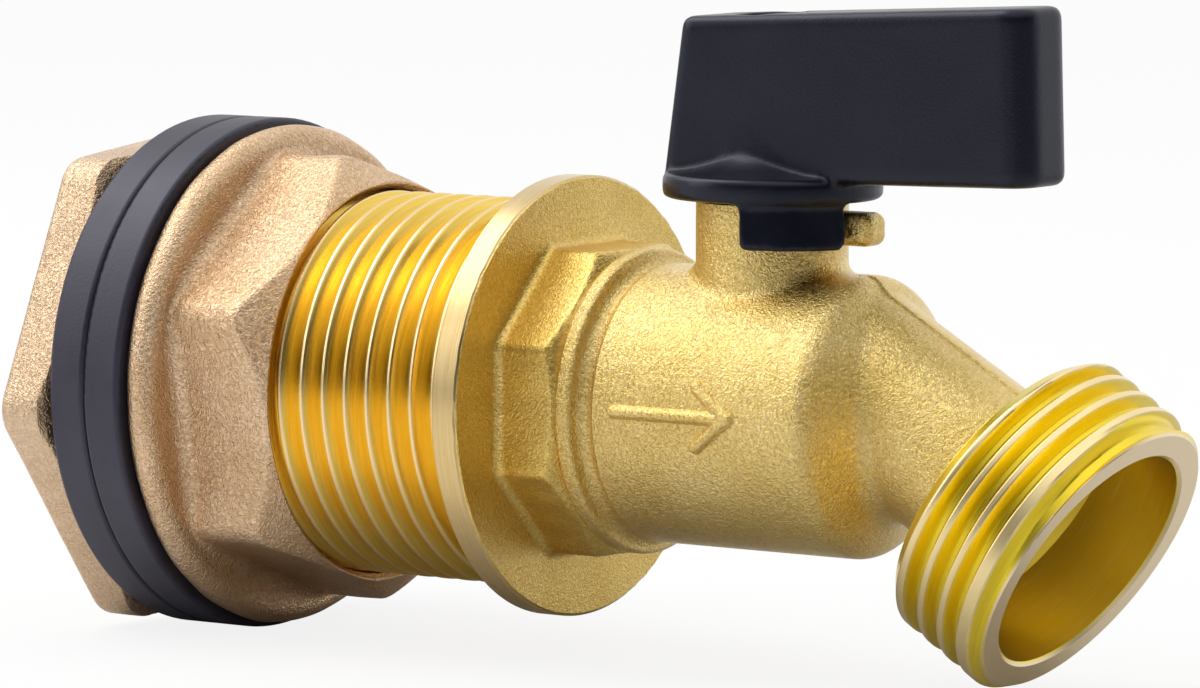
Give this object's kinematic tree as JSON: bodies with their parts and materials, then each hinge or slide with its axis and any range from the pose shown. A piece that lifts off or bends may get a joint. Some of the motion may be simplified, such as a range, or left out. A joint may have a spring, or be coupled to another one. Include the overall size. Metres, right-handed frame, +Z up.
{
  "type": "water butt tap",
  "caption": "Brass quarter-turn ball tap with a black lever, a slanted threaded hose spout, and a hex tank connector with rubber washers and a flanged clamp nut.",
  "frame": {"origin": "on the tank connector's axis at the plane between the two washers, where the wall of the butt is clamped", "axes": "+X along the connector's axis out of the butt, +Z up along the valve stem towards the lever, +Y to complete a right-handed set"},
  "size_m": [0.1031, 0.046, 0.0571],
  "materials": {
    "connector_brass": "sand-cast hex head, bright machined thread",
    "nut_brass": "sand-cast, matt",
    "tailpiece_brass": "fine cast grain, machined collar rim",
    "body_brass": "fine cast grain, machined hose thread and mouth",
    "washer_rubber": "smooth satin",
    "ball_chrome": "polished",
    "seat_plastic": "waxy white",
    "stem_brass": "turned",
    "seal_rubber": "smooth",
    "handle_plastic": "satin black moulding",
    "screw_steel": "zinc plated"
  },
  "bodies": {
    "tap": {"bulkhead_body": "connector_brass", "inner_washer": "washer_rubber", "inlet_tailpiece": "tailpiece_brass", "valve_body": "body_brass", "inlet_seat": "seat_plastic", "outlet_seat": "seat_plastic", "thrust_washer": "seat_plastic"},
    "loose washer": {"outer_washer": "washer_rubber"},
    "nut": {"clamp_nut": "nut_brass"},
    "handle": {"lever_handle": "handle_plastic", "handle_screw": "screw_steel", "screw_washer": "screw_steel", "stem": "stem_brass", "ball": "ball_chrome", "lower_stem_seal": "seal_rubber", "upper_stem_seal": "seal_rubber"}
  },
  "joints": [
    {"name": "handle_turn", "type": "hinge", "parent": "tap", "child": "handle", "pos_m": [0.05615, 0, 0.02], "axis": [0, 0, 1], "range_deg": [-90, 0]},
    {"name": "nut_travel", "type": "slide", "parent": "tap", "child": "loose washer", "axis": [1, 0, 0], "range_m": [0, 0.01732]},
    {"name": "nut_turn", "type": "hinge", "parent": "loose washer", "child": "nut", "pos_m": [0.01, 0, 0], "axis": [1, 0, 0], "range_deg": [0, 2700]}
  ],
  "couplings": [
    {"joint": "nut_travel", "follows": "nut_turn", "m_per_rad": 0.00036749}
  ]
}
